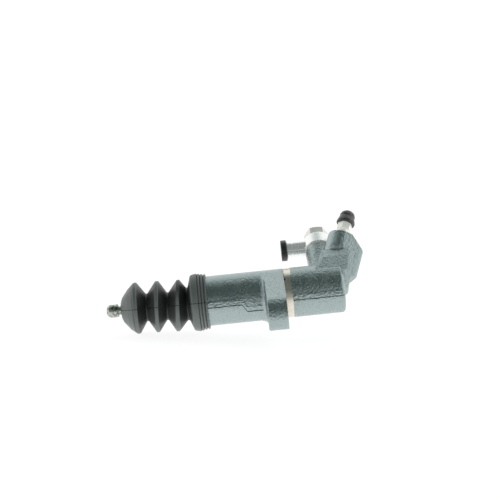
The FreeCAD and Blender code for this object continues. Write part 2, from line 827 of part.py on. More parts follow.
def port_plug():
    """Moulded transit plug: a disc over the stub's end with a hollow spigot."""
    middle = boss_base + boss_up * eye_middle
    back = Vector(-1, 0, 0)
    foot = boss_station - stub_reach + plug_lip_clearance
    spigot_r = stub_port_r - plug_spigot_clearance
    return turned([
        (foot - plug_spigot_length, spigot_r - 1.2),
        (foot - plug_spigot_length, spigot_r, 0.5),
        (foot, spigot_r),
        (foot, plug_r, plug_edge_round),
        (foot + plug_thickness, plug_r, plug_edge_round),
        (foot + plug_thickness, 0),
        (foot + plug_thickness - 1.4, 0),
        (foot + plug_thickness - 1.4, spigot_r - 1.2)],
        middle, back)


def union_bolt():
    """Hollow hexagon bolt that clamps the union, with its cross drilling."""
    top = bolt_seat + bolt_hex_height
    foot = boss_height - bolt_reach
    shank = turned([
        (foot, 0),
        (foot, bolt_shank_r - 0.8),
        (foot + 0.8, bolt_shank_r),
        (bolt_seat + 1, bolt_shank_r),
        (bolt_seat + 1, 0)],
        boss_base, boss_up)
    head = hexagon(bolt_hex_flats, bolt_seat, top, bolt_hex_chamfer, boss_base, boss_up)
    drilling = rod(feed_r, foot - 1, eye_middle + feed_r, boss_base, boss_up)
    cross_base = boss_base + boss_up * eye_middle
    cross = rod(feed_r, -bolt_shank_r - 1, bolt_shank_r + 1, cross_base)
    return shank.fuse(head).cut(drilling).cut(cross)


rear_cup_groove, front_cup_groove = cup_grooves()
cup_floor_r = piston_r - cup_groove_depth
nodes = {
    "cylinder_body": cylinder_body(),
    "piston": piston(),
    "secondary_cup": turned(cup_profile(rear_cup_groove, cup_floor_r, 1)),
    "primary_cup": turned(cup_profile(front_cup_groove, cup_floor_r, 1)),
    "return_spring": return_spring(),
    "stop_ring": stop_ring(),
    "push_rod": push_rod(),
    "dust_boot": dust_boot(),
    "bleeder_screw": bleeder_screw(),
    "bleeder_cap": bleeder_cap(),
    "union_washer_lower": washer(boss_height),
    "union_washer_upper": washer(eye_top),
    "union_fitting": union_fitting(),
    "tube_seat": tube_seat(),
    "port_plug": port_plug(),
    "union_bolt": union_bolt(),
}

os.makedirs("parts", exist_ok=True)
for name, shape in nodes.items():
    shape.exportStep("parts/" + name + ".step")
    print(name, shape.isValid(), len(shape.Solids), round(shape.Volume, 1))
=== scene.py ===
# Looks of a clutch slave cylinder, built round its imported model.
# Lengths are in metres, in the model's own frame: +X from the rod tip to the
# closed end, +Z up, origin on the flange's machined face between its two holes.

import math

import bpy
import numpy as np
from mathutils import Matrix, Vector


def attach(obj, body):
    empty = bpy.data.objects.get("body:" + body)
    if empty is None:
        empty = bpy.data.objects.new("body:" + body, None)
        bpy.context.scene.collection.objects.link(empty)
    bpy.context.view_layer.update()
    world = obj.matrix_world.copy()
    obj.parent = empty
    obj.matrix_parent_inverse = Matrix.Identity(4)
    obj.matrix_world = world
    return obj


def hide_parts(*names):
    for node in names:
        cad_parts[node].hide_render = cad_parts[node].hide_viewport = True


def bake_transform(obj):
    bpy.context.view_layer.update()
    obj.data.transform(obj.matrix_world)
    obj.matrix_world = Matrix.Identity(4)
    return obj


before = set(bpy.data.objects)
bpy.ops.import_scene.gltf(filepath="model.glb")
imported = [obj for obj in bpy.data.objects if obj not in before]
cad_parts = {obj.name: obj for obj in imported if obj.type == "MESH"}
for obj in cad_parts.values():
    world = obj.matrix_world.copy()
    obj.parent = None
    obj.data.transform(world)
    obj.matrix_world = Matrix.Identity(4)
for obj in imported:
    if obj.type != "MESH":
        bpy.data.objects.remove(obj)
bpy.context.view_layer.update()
scene = bpy.context.scene
scene.view_settings.view_transform = "Standard"


# Camera
# A long lens a little above the cylinder, rolled so that the cylinder's axis
# climbs to the right, as it does in the photograph.
mm = 0.001
axis_rise = 5.0 * mm
camera_lift = math.radians(9.3)
camera_roll = math.radians(5.9)
camera_distance = 861.0 * mm
camera_lens = 100.0
target_x = -18.6 * mm
target_lift = 29.0 * mm
sight = Vector((0, -math.cos(camera_lift), math.sin(camera_lift)))
level_up = Vector((0, math.sin(camera_lift), math.cos(camera_lift)))
level_right = Vector((1, 0, 0))
picture_right = level_right * math.cos(camera_roll) - level_up * math.sin(camera_roll)
picture_up = level_right * math.sin(camera_roll) + level_up * math.cos(camera_roll)
target = Vector((target_x, 0, axis_rise)) + level_up * target_lift

lens = bpy.data.cameras.new("camera")
lens.lens = camera_lens
camera = bpy.data.objects.new("camera", lens)
scene.collection.objects.link(camera)
turn = Matrix((picture_right, picture_up, sight)).transposed().to_4x4()
camera.matrix_world = Matrix.Translation(target + sight * camera_distance) @ turn
scene.camera = camera


# Floor
# A white sheet just under the boot's last rim. It is level in the picture, and so
# tilted in this frame. The camera sees it almost white, and metal mirrors it as a
# sheet that is bright beside the cylinder and darker in front.
resting_rim_x = -91.9 * mm
rim_r = 15.9 * mm
floor_gap = 0.3 * mm
floor_half = 4.0
paper_tone = 0.9
paper_glow = 1.23
paper_glow_share = 0.72
mirrored_from = -170.0 * mm
mirrored_to = -50.0 * mm
mirrored_dim = 0.25
mirrored_bright = 1.15


def shader_tree(name):
    """A new material and its emptied node tree."""
    material = bpy.data.materials.new(name)
    material.use_nodes = True
    material.node_tree.nodes.clear()
    return material, material.node_tree


def added(tree, kind, inputs=None, **settings):
    """Adds a node with settings, then sets its inputs or links sockets to them."""
    node = tree.nodes.new(kind)
    for key, value in settings.items():
        setattr(node, key, value)
    for key, value in (inputs or {}).items():
        if isinstance(value, bpy.types.NodeSocket):
            tree.links.new(value, node.inputs[key])
        else:
            node.inputs[key].default_value = value
    return node


def plain_tone(red, green, blue):
    """Colour for a socket, from linear red, green and blue."""
    return (red, green, blue, 1.0)


def object_place(tree):
    """Place on the piece, then its x, y and z one by one."""
    place = added(tree, "ShaderNodeTexCoord").outputs["Object"]
    apart = added(tree, "ShaderNodeSeparateXYZ", {0: place})
    return place, *apart.outputs


def ramped(tree, value, start, end, low=0.0, high=1.0):
    """Eases from low at start to high at end, and holds outside them.

    With t as the share of the way from start to end, the ease is t t (3 - 2 t).
    """
    node = added(tree, "ShaderNodeMapRange",
                 {"Value": value, "From Min": start, "From Max": end, "To Min": low, "To Max": high},
                 interpolation_type="SMOOTHSTEP")
    return node.outputs[0]


def seen_or_mirrored(tree, seen, mirrored):
    """Shows the camera one shader and every other ray another."""
    path = added(tree, "ShaderNodeLightPath")
    chosen = added(tree, "ShaderNodeMixShader",
                   {0: path.outputs["Is Camera Ray"], 1: mirrored.outputs[0], 2: seen.outputs[0]})
    return chosen.outputs[0]


floor_up = (picture_up * math.cos(camera_lift) + sight * math.sin(camera_lift)).normalized()
rim_centre = Vector((resting_rim_x, 0, axis_rise))
rim_reach = rim_r * math.sqrt(1 - floor_up.x ** 2)
floor_height = floor_up.dot(rim_centre) - rim_reach - floor_gap
along = (level_right - floor_up * floor_up.x).normalized()
across = floor_up.cross(along)
corners = [floor_up * floor_height + (along * a + across * b) * floor_half
           for a, b in ((-1, -1), (1, -1), (1, 1), (-1, 1))]
floor_mesh = bpy.data.meshes.new("floor")
floor_mesh.from_pydata([tuple(c) for c in corners], [], [(0, 1, 2, 3)])
floor = bpy.data.objects.new("floor", floor_mesh)
scene.collection.objects.link(floor)

paper, tree = shader_tree("white_paper")
place, x, y, z = object_place(tree)
white = plain_tone(1, 1, 1)
lit = added(tree, "ShaderNodeBsdfDiffuse", {"Color": plain_tone(paper_tone, paper_tone, paper_tone)})
glow = added(tree, "ShaderNodeEmission", {"Color": white, "Strength": paper_glow})
seen = added(tree, "ShaderNodeMixShader", {0: paper_glow_share, 1: lit.outputs[0], 2: glow.outputs[0]})
brightness = ramped(tree, y, mirrored_from, mirrored_to, mirrored_dim, mirrored_bright)
mirrored = added(tree, "ShaderNodeEmission", {"Color": white, "Strength": brightness})
added(tree, "ShaderNodeOutputMaterial", {0: seen_or_mirrored(tree, seen, mirrored)})
floor_mesh.materials.append(paper)


# Light
# A white tent with a dim oval opening centred above the camera, so that metal
# facing the camera is dark and its sides are bright. The camera sees plain white.
tent_white = 1.15
tent_dim = 0.13
dim_tint = (0.84, 1.04, 1.0)
background_white = 1.1
opening_turn = math.radians(-8.0)
opening_lift = math.radians(44.0)
opening_flatness = 1.1
opening_edge = (0.36, 1.0)
opening_side = (-0.05, 0.25)


def maths(tree, operation, *values):
    """Output of a maths node over one to three numbers or sockets."""
    return added(tree, "ShaderNodeMath", dict(enumerate(values)), operation=operation).outputs[0]


def chained(tree, operation, first, *others):
    """One maths operation over several values in turn, such as a product."""
    for other in others:
        first = maths(tree, operation, first, other)
    return first


def squares(tree, a, b):
    """a squared plus b squared."""
    return maths(tree, "MULTIPLY_ADD", a, a, maths(tree, "MULTIPLY", b, b))


def mixed_colour(tree, share, low, high):
    """Colour between two colours or sockets by a share."""
    return added(tree, "ShaderNodeMix", {0: share, 6: low, 7: high}, data_type="RGBA").outputs[2]


def vector_maths(tree, operation, *values, output=0):
    """Output of a vector maths node over one or two vectors or sockets."""
    node = added(tree, "ShaderNodeVectorMath", dict(enumerate(values)), operation=operation)
    return node.outputs[output]


def towards(tree, ray, direction):
    """How far a ray goes along a direction: their dot product."""
    return vector_maths(tree, "DOT_PRODUCT", ray, tuple(direction), output="Value")


level_aim = sight * math.cos(opening_turn) + level_right * math.sin(opening_turn)
middle = (level_aim * math.cos(opening_lift) + level_up * math.sin(opening_lift)).normalized()
flat = (level_right - middle * middle.dot(level_right)).normalized()
steep = middle.cross(flat)

world = bpy.data.worlds.new("tent")
world.use_nodes = True
scene.world = world
tree = world.node_tree
tree.nodes.clear()
ray = added(tree, "ShaderNodeTexCoord").outputs["Generated"]
wide = towards(tree, ray, flat * opening_flatness)
tall = towards(tree, ray, steep)
within = ramped(tree, squares(tree, tall, wide), *opening_edge, 1.0, 0.0)
opening = maths(tree, "MULTIPLY", within, ramped(tree, towards(tree, ray, middle), *opening_side))
level = ramped(tree, opening, 0.0, 1.0, tent_white, tent_dim)
tint = mixed_colour(tree, opening, white, plain_tone(*dim_tint))
inside = added(tree, "ShaderNodeBackground", {"Color": tint, "Strength": level})
clean = added(tree, "ShaderNodeBackground", {"Color": white, "Strength": background_white})
added(tree, "ShaderNodeOutputWorld", {0: seen_or_mirrored(tree, clean, inside)})


# Cylinder body
# One iron casting under a grey-green coat, with a sand-cast skin that is coarsest
# just above the parting line. The pilot band beside the flange, the seat face, the
# screw holes and the bore are machined bare, and the band has begun to rust.
barrel_r = 15.6 * mm
pilot_r = 15.2 * mm
pilot_length = 4.6 * mm
ear_reach = 31.0 * mm
ear_hole_r = 4.5 * mm
bore_r = 10.32 * mm
bore_bottom = 31.5 * mm
bore_chamfer = 1.4 * mm

# Margins by which a finish reaches past the face that it is meant for.
seat_depth = 0.03 * mm
barrel_margin = 0.2 * mm
pilot_margin = 0.1 * mm
band_margin = 0.02 * mm
bore_margin = 0.5 * mm
hole_margin = 0.05 * mm

# Parting line: its height over the axis, where it drops, and the crease it leaves
# on the near side of the barrel, which is also darkened as painted shade.
line_at_mouth = -1.2 * mm
line_at_flange = -6.0 * mm
line_at_tail = -1.8 * mm
line_slope = (-27.0 * mm, -23.5 * mm)
line_waver = 1.1 * mm
line_waver_size = 2.6 * mm
line_near_y = -9.0 * mm
line_last_x = 36.0 * mm
crease_half = (0.1 * mm, 0.45 * mm)
crease_depth = 0.25 * mm
crease_shade_strength = 0.9

# Cast skin: pits, finer grit, and short wrinkles in a strip just over the line. The pits are also
# darkened as painted shade.
skin_size = 1.5 * mm
skin_depth = 0.44 * mm
calm_skin = 0.45
calm_until = (-38.0 * mm, -30.0 * mm)
grit_size = 0.7 * mm
grit_depth = 0.26 * mm
wrinkle_size = 1.3 * mm
wrinkle_depth = 0.6 * mm
wrinkle_strip_start = (0.0, 0.6 * mm)
wrinkle_strip_end = (2.6 * mm, 4.6 * mm)
wrinkle_stretch = (1.6, 1.0, 1.0)
pit_shade_range = (0.32, 0.5)
pit_shade_share = 0.22
turned_mark_size = 0.35 * mm
turned_mark_depth = 0.02 * mm
turned_mark_stretch = (0.3, 2.0, 2.0)

# Tones of the coat, the painted shade in its pits and its crease, and the bare band,
# with the rust at its edge and one dark spot.
coat_patch_size = 9.0 * mm
coat_dark = plain_tone(0.315, 0.385, 0.38)
coat_light = plain_tone(0.385, 0.46, 0.455)
pit_shade_tone = plain_tone(0.17, 0.22, 0.22)
crease_shade_tone = plain_tone(0.03, 0.045, 0.045)
bare_dark = plain_tone(0.60, 0.54, 0.42)
bare_light = plain_tone(0.80, 0.79, 0.74)
bare_patch_size = 3.0 * mm
rust_tone = plain_tone(0.20, 0.12, 0.06)
rust_edge = (0.7 * mm, 1.5 * mm)
rust_waver = 1.4 * mm
rust_waver_size = 1.6 * mm
rust_strength = 0.75
spot_tone = plain_tone(0.03, 0.018, 0.01)
spot_centre = (0.6 * mm, -10.7 * mm, 15.8 * mm)
spot_narrowness = (1.6, 1.0, 1.0)
spot_edge = (0.9 * mm, 1.7 * mm)
spot_waver = 0.8 * mm
coat_metallic = 0.95
dulling_at_rust_and_spot = 0.8
coat_roughness = (0.24, 0.34)
usual_noise = (0.3, 0.7)


def noise(tree, place, size, detail=3.0, stretch=(1.0, 1.0, 1.0)):
    """Noise from 0 to 1, with features about a size long, times a stretch along each axis."""
    scale = tuple(1 / (size * s) for s in stretch)
    spread = vector_maths(tree, "MULTIPLY", place, scale)
    node = added(tree, "ShaderNodeTexNoise", {"Vector": spread, "Scale": 1.0, "Detail": detail})
    return node.outputs["Fac"]


def mixed(tree, share, low, high):
    """Number between two numbers or sockets by a share."""
    return added(tree, "ShaderNodeMix", {0: share, 2: low, 3: high}).outputs[0]


def surfaced(tree, tone, roughness, relief, more=None):
    """Ends a tree in a surface of a tone and roughness, with its relief in metres."""
    bump = added(tree, "ShaderNodeBump", {"Height": relief, "Strength": 1.0, "Distance": 1.0})
    inputs = {"Base Color": tone, "Roughness": roughness, "Normal": bump.outputs[0]}
    shader = added(tree, "ShaderNodeBsdfPrincipled", inputs | (more or {}))
    added(tree, "ShaderNodeOutputMaterial", {0: shader.outputs[0]})


def dressed(node_name, material):
    """Gives a carried-over node its material."""
    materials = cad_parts[node_name].data.materials
    materials.clear()
    materials.append(material)


iron, tree = shader_tree("coated_iron")
place, x, y, z = object_place(tree)
height = maths(tree, "SUBTRACT", z, axis_rise)
radius = maths(tree, "SQRT", squares(tree, y, height))

left_line = ramped(tree, x, *line_slope, line_at_mouth, line_at_flange)
line = mixed(tree, maths(tree, "GREATER_THAN", x, 0.0), left_line, line_at_tail)
waver = maths(tree, "SUBTRACT", noise(tree, place, line_waver_size), 0.5)
over_line = maths(tree, "MULTIPLY_ADD", waver, line_waver, maths(tree, "SUBTRACT", height, line))
on_barrel = chained(tree, "MULTIPLY",
                    maths(tree, "LESS_THAN", y, line_near_y),
                    maths(tree, "LESS_THAN", x, line_last_x),
                    maths(tree, "LESS_THAN", radius, barrel_r + barrel_margin))
off_line = maths(tree, "ABSOLUTE", over_line)
crease = maths(tree, "MULTIPLY", on_barrel, ramped(tree, off_line, *crease_half, 1.0, 0.0))
strip = chained(tree, "MULTIPLY", on_barrel,
                ramped(tree, over_line, *wrinkle_strip_start),
                ramped(tree, over_line, *wrinkle_strip_end, 1.0, 0.0))

skin = noise(tree, place, skin_size, 2.0)
grit = noise(tree, place, grit_size, 2.0)
wrinkles = noise(tree, place, wrinkle_size, 1.0, wrinkle_stretch)
calm = ramped(tree, x, *calm_until, calm_skin, 1.0)
cast_relief = chained(tree, "MULTIPLY", skin, calm, skin_depth)
cast_relief = maths(tree, "MULTIPLY_ADD", grit, grit_depth, cast_relief)
in_strip = maths(tree, "MULTIPLY", wrinkles, strip)
cast_relief = maths(tree, "MULTIPLY_ADD", in_strip, wrinkle_depth, cast_relief)
cast_relief = maths(tree, "MULTIPLY_ADD", crease, -crease_depth, cast_relief)

band = chained(tree, "MULTIPLY",
               maths(tree, "GREATER_THAN", x, -band_margin),
               maths(tree, "LESS_THAN", x, pilot_length + band_margin),
               maths(tree, "LESS_THAN", radius, pilot_r + pilot_margin))
seat = maths(tree, "LESS_THAN", maths(tree, "ABSOLUTE", x), seat_depth)
bore = maths(tree, "MULTIPLY",
             maths(tree, "LESS_THAN", radius, bore_r + bore_chamfer),
             maths(tree, "LESS_THAN", x, bore_bottom + bore_margin))
from_ear = maths(tree, "SUBTRACT", maths(tree, "ABSOLUTE", y), ear_reach)
from_hole = maths(tree, "SQRT", squares(tree, from_ear, z))
hole = maths(tree, "LESS_THAN", from_hole, ear_hole_r + hole_margin)
bare = chained(tree, "MAXIMUM", band, seat, bore, hole)

patches = noise(tree, place, coat_patch_size, 4.0)
coat = mixed_colour(tree, patches, coat_dark, coat_light)
# Painted shade: the coat is darker in the pits of the cast skin.
coat = mixed_colour(tree, ramped(tree, skin, *pit_shade_range, pit_shade_share, 0.0), coat, pit_shade_tone)
# Painted shade: the coat is darker along the parting line's crease.
coat = mixed_colour(tree, maths(tree, "MULTIPLY", crease, crease_shade_strength), coat, crease_shade_tone)

uneven_x = maths(tree, "MULTIPLY_ADD", noise(tree, place, rust_waver_size), rust_waver, x)
edge_rust = maths(tree, "MULTIPLY", ramped(tree, uneven_x, *rust_edge, 1.0, 0.0), band)
# One dark spot on the band beside the flange, darkest at its middle. There, and where the edge has
# rusted, the surface is less metallic.
from_spot = vector_maths(tree, "SUBTRACT", place, spot_centre)
from_spot = vector_maths(tree, "MULTIPLY", from_spot, spot_narrowness)
spot_distance = vector_maths(tree, "LENGTH", from_spot, output="Value")
uneven_spot = maths(tree, "MULTIPLY_ADD", grit, spot_waver, spot_distance)
spot = ramped(tree, uneven_spot, *spot_edge, 1.0, 0.0)
metal_tone = mixed_colour(tree, noise(tree, place, bare_patch_size, 4.0), bare_dark, bare_light)
metal_tone = mixed_colour(tree, maths(tree, "MULTIPLY", edge_rust, rust_strength), metal_tone, rust_tone)
metal_tone = mixed_colour(tree, spot, metal_tone, spot_tone)

turned_marks = noise(tree, place, turned_mark_size, 2.0, turned_mark_stretch)
turned_relief = maths(tree, "MULTIPLY", turned_marks, turned_mark_depth)
metal_dulling = maths(tree, "MULTIPLY", maths(tree, "MAXIMUM", edge_rust, spot), dulling_at_rust_and_spot)
surfaced(tree,
         mixed_colour(tree, bare, coat, metal_tone),
         ramped(tree, patches, *usual_noise, *coat_roughness),
         mixed(tree, bare, cast_relief, turned_relief),
         {"Metallic": maths(tree, "SUBTRACT", coat_metallic, metal_dulling)})
dressed("cylinder_body", iron)


# Arm web
# The casting rises from the barrel up the arm's front as a smooth web, cut off
# level with the arm's shelf. It covers the straight lip of the plain model.

# The shelf's edges, as y and z from the barrel's axis.
shelf_front = (2.8 * mm, 20.05 * mm)
shelf_back = (9.4 * mm, 23.2 * mm)

# The web's left side, as x at its foot and at the shelf, and its right side, as x
# at the axis and at the shelf.
web_left = (21.4 * mm, 26.1 * mm)
web_right = (36.3 * mm, 41.6 * mm)
web_lean_limit = 1.5
web_flare = 4.5 * mm
web_flare_power = 3
web_tuck = 0.3 * mm
web_base = 5.0 * mm
web_base_share = 0.6
web_front_points = 40
web_shelf_points = 12
web_columns = 48
sharp_angle = math.radians(40)


def grid_piece(name, points, rows_wrap):
    """Closed piece over a grid of points, shaped (rows, columns, 3).

    Face (i, j) joins the points (i, j), (i, j + 1), (i + 1, j + 1) and (i + 1, j).
    Columns count round. Rows count round too, or each end row is filled by a face.
    The faces are turned over if the volume, a third of the sum of each face's area
    times its centre along its normal, comes out below zero.
    """
    number = np.arange(points.shape[0] * points.shape[1]).reshape(points.shape[:2])
    here, ahead = (number, np.roll(number, -1, axis=0)) if rows_wrap else (number[:-1], number[1:])
    quads = np.stack([here, np.roll(here, -1, axis=1), np.roll(ahead, -1, axis=1), ahead], axis=-1)
    faces = quads.reshape(-1, 4).tolist()
    if not rows_wrap:
        faces += [np.roll(number[0, ::-1], 1).tolist(), np.roll(number[-1], 1).tolist()]
    mesh = bpy.data.meshes.new(name)
    mesh.from_pydata(points.reshape(-1, 3), [], faces)

    centres = np.empty(3 * len(faces))
    normals = np.empty(3 * len(faces))
    areas = np.empty(len(faces))
    mesh.polygons.foreach_get("center", centres)
    mesh.polygons.foreach_get("normal", normals)
    mesh.polygons.foreach_get("area", areas)
    if np.sum((centres * normals).reshape(-1, 3).sum(axis=1) * areas) < 0:
        mesh.flip_normals()
    mesh.polygons.foreach_set("use_smooth", [True] * len(faces))
    mesh.set_sharp_from_angle(angle=sharp_angle)
    piece = bpy.data.objects.new(name, mesh)
    scene.collection.objects.link(piece)
    return piece


def straight_run(start, end, count):
    """Points spread evenly from one pair to another."""
    share = np.linspace(0, 1, count)[:, None]
    return np.array(start) * (1 - share) + np.array(end) * share


def web_grid():
    """Web as x from its left to its right side, over a section in y and z.

    The section climbs the straight line that touches a circle just inside the
    barrel and ends at the shelf's front edge, runs back along the shelf, and comes
    down behind. The left side leans evenly with height, and flares out below by
    the cube of the share of height that is left; the right side only leans.
    """
    tuck_r = barrel_r - web_tuck
    steepness = math.acos(tuck_r / math.hypot(*shelf_front)) - math.atan2(*shelf_front)
    foot = (-tuck_r * math.sin(steepness), tuck_r * math.cos(steepness))
    behind = np.array([(shelf_back[0], web_base), (foot[0] * web_base_share, web_base)])
    section = np.concatenate([straight_run(foot, shelf_front, web_front_points),
                              straight_run(shelf_front, shelf_back, web_shelf_points)[1:],
                              behind])
    section_y, section_z = section.T
    up_share = (section_z - foot[1]) / (shelf_front[1] - foot[1])
    flare = web_flare * np.clip(1 - up_share, 0, 1) ** web_flare_power
    left_x = web_left[0] + (web_left[1] - web_left[0]) * np.clip(up_share, 0, web_lean_limit) - flare
    right_x = web_right[0] + (web_right[1] - web_right[0]) * section_z / shelf_front[1]
    share = np.linspace(0, 1, web_columns)[:, None]
    wide_x = left_x * (1 - share) + right_x * share
    return np.stack([wide_x,
                     np.broadcast_to(section_y, wide_x.shape),
                     np.broadcast_to(section_z + axis_rise, wide_x.shape)], axis=-1)


web = grid_piece("arm_web", web_grid(), False)
web.data.materials.append(iron)
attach(web, "cylinder")


# Return spring
# A cone of seven turns of round wire from the piston's nub to the closed end of
# the bore, with a flat half turn at each end.
spring_start = -23.8 * mm
spring_end = 31.6 * mm
spring_start_r = 4.9 * mm
spring_end_r = 9.0 * mm
spring_wire_r = 0.55 * mm
spring_turns = 7
spring_flat = 0.5
points_per_turn = 40
points_round_wire = 12


def coil_grid():
    """Wire of the cone as a grid: places along it by points round its section.

    At t turns the middle line is at the angle 2 pi t and at a radius that grows
    evenly from the small end to the large. It climbs evenly too, but for the flat
    part at each end. The section is a circle across the middle line's direction.
    """
    t = np.linspace(0, spring_turns, spring_turns * points_per_turn + 1)
    climb = np.clip((t - spring_flat) / (spring_turns - 2 * spring_flat), 0, 1)
    reach = spring_start_r + (spring_end_r - spring_start_r) * t / spring_turns
    angle = 2 * math.pi * t
    middle_line = np.stack([spring_start + (spring_end - spring_start) * climb,
                            reach * np.sin(angle),
                            axis_rise + reach * np.cos(angle)], axis=1)
    onward = np.gradient(middle_line, axis=0)
    onward /= np.linalg.norm(onward, axis=1, keepdims=True)
    outward = np.stack([np.zeros_like(t), np.sin(angle), np.cos(angle)], axis=1)
    outward -= onward * np.sum(outward * onward, axis=1, keepdims=True)
    outward /= np.linalg.norm(outward, axis=1, keepdims=True)
    sideways = np.cross(onward, outward)
    section = np.linspace(0, 2 * math.pi, points_round_wire, endpoint=False)[None, :, None]
    circle = np.cos(section) * outward[:, None] + np.sin(section) * sideways[:, None]
    return middle_line[:, None] + spring_wire_r * circle


def metal_finish(name, dark, light, roughness, marks, depth, patch=6.0 * mm, metallic=1.0, painted_glow=0.0):
    """Finish in patches of two tones under fine marks of one size, for metal and seals.

    The roughness goes from 0.8 to 1.25 times its value as the marks go from dark to
    light. The glow is a faint glow of the metal's own tone, painted light that makes
    the plate look overexposed.
    """
    material, tree = shader_tree(name)
    place = object_place(tree)[0]
    fine = noise(tree, place, marks, 3.0)
    tone = mixed_colour(tree, noise(tree, place, patch, 4.0), plain_tone(*dark), plain_tone(*light))
    surfaced(tree, tone,
             ramped(tree, fine, *usual_noise, roughness * 0.8, roughness * 1.25),
             maths(tree, "MULTIPLY", fine, depth),
             {"Metallic": metallic, "Emission Color": tone, "Emission Strength": painted_glow})
    return material


spring = grid_piece("return_coil", coil_grid(), False)
wire = metal_finish("spring_wire", dark=(0.30, 0.30, 0.31), light=(0.42, 0.42, 0.43),
                    roughness=0.3, marks=0.8 * mm, depth=0.01 * mm)
spring.data.materials.append(wire)
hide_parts("return_spring")
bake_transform(spring)


# Piston, its cups and the stop ring
# Turned alloy between two black seal cups, kept in the bore by a ring of spring
# wire that is snapped into a groove near the mouth.
alloy = metal_finish("turned_alloy", dark=(0.66, 0.67, 0.68), light=(0.80, 0.81, 0.82),
                     roughness=0.28, marks=0.5 * mm, depth=0.01 * mm)
cup = metal_finish("seal_rubber", dark=(0.012, 0.012, 0.012), light=(0.03, 0.03, 0.03),
                   roughness=0.5, marks=0.6 * mm, depth=0.01 * mm, metallic=0.0)
dressed("piston", alloy)
dressed("primary_cup", cup)
dressed("secondary_cup", cup)
dressed("stop_ring", wire)


# Push rod
# Turned steel with a domed tip, oiled and a little blackened round the neck.
# Its turning marks are rings, and the oil lies on it in small smears.
ring_size = 0.25 * mm
ring_depth = 0.02 * mm
ring_stretch = (1.0, 12.0, 12.0)
smear_size = 1.7 * mm
smear_depth = 0.05 * mm
smear_range = (0.38, 0.58)
oily_tone = plain_tone(0.16, 0.18, 0.15)
steel_tone = plain_tone(0.50, 0.52, 0.48)
steel_roughness = (0.18, 0.38)

rod, tree = shader_tree("turned_steel")
place, x, y, z = object_place(tree)
rings = noise(tree, place, ring_size, 2.0, ring_stretch)
smear = noise(tree, place, smear_size, 4.0)
tone = mixed_colour(tree, ramped(tree, smear, *smear_range), oily_tone, steel_tone)
relief = maths(tree, "MULTIPLY_ADD", rings, ring_depth, maths(tree, "MULTIPLY", smear, smear_depth))
surfaced(tree, tone, ramped(tree, smear, *usual_noise, *steel_roughness), relief, {"Metallic": 1.0})
dressed("push_rod", rod)


# Rubber boot
# A bellows with three banded rims and a blunt front dome, pushed a little askew
# by its own weight. It is two pieces that meet behind the front dome.

# Cuff on the barrel's mouth: its ribs, its end band and the shoulder after it.
mouth = -57.0 * mm
cuff_end = -47.8 * mm
cuff_r = 18.0 * mm
cuff_lip_r = 16.7 * mm
cuff_band = 3.5 * mm
cuff_band_slope = 0.4 * mm
cuff_band_depth = 0.7 * mm
rib_count = 3
rib_pitch = 1.9 * mm
first_rib_r = 17.03 * mm
rib_growth = 0.33 * mm
rib_rise = (0.1 * mm, 0.35 * mm)
rib_fall = (1.15 * mm, 1.45 * mm)
rib_rise_height = 0.3 * mm
rib_fall_height = 0.8 * mm
rib_rounds = (0.2 * mm, 0.25 * mm)
shoulder_past_mouth = 0.4 * mm
shoulder_r = 17.2 * mm
shoulder_round = 1.6 * mm
first_valley_r = 9.2 * mm
first_valley_to_rim = 6.3 * mm

# Rims, the valleys between them, the front dome and the nose. A valley's sharp
# corner lies below its rounded floor by valley_corner.
first_rim = -66.4 * mm
rim_pitch = 12.75 * mm
rim_count = 3
last_rim = first_rim - rim_pitch * (rim_count - 1)
rim_half = 0.85 * mm
rim_round = 0.6 * mm
valley_r = 8.2 * mm
valley_round = 0.9 * mm
valley_corner = 0.37 * mm
dome_past_rim = 5.0 * mm
dome_r = 12.3 * mm
dome_round = 5.0 * mm
dome_end_past_rim = 8.6 * mm
dome_end_r = 7.7 * mm
dome_end_round = 1.5 * mm
nose = last_rim - 9.6 * mm
nose_r = 5.3 * mm
nose_round = 0.8 * mm
nose_wall = 2.8 * mm
rod_hole_r = 2.9 * mm

# Inner skin, with the bead that grips the barrel, and how finely both are drawn.
wall = 1.1 * mm
slant_wall = wall * math.sqrt(2)
fit_gap = 0.1 * mm
bead_start = mouth + 5.9 * mm
bead_end = mouth + 2.5 * mm
bead_r = 14.3 * mm
mouth_land_r = 15.1 * mm
mouth_hole_r = 8.2 * mm
rim_thinning = 0.3 * mm
rim_inner_round = 0.4 * mm
parting_split = last_rim - rim_half
arc_points = 7
round_samples = 288

# Places along the boot, and how far it leans and sags there.
bend_at = np.array([57.5, 66.4, 79.2, 91.9, 96.0]) * -mm
bend_lean = np.array([0.0, 0.095, 0.065, 0.0, 0.0])
bend_sag = np.array([0.0, -0.7, 0.0, 0.4, 0.0]) * mm


def profile(corners):
    """Points (x, r) through corners (x, r) or (x, r, radius), each radius as an arc.

    The arc touches both sides of its corner. Its centre lies on the bisector, at
    the radius over the sine of half the angle, and the arm from there to the arc
    turns evenly: with s as the share of the sweep, it is the start arm times
    sin(sweep (1 - s)) plus the end arm times sin(sweep s), over sin(sweep).
    """
    line = []
    for i, corner in enumerate(corners):
        here = np.array(corner[:2])
        if len(corner) < 3:
            line.append(here)
            continue
        radius = corner[2]
        back = np.array(corners[i - 1][:2]) - here
        ahead = np.array(corners[i + 1][:2]) - here
        back = back / np.linalg.norm(back)
        ahead = ahead / np.linalg.norm(ahead)
        half = math.acos(np.clip(back @ ahead, -1, 1)) / 2
        centre = here + (back + ahead) / np.linalg.norm(back + ahead) * radius / math.sin(half)
        start = here + back * radius / math.tan(half) - centre
        end = here + ahead * radius / math.tan(half) - centre
        sweep = math.pi - 2 * half
        share = np.linspace(0, 1, arc_points)[:, None]
        arms = start * np.sin(sweep * (1 - share)) + end * np.sin(sweep * share)
        line.extend(centre + arms / math.sin(sweep))
    return np.array(line)


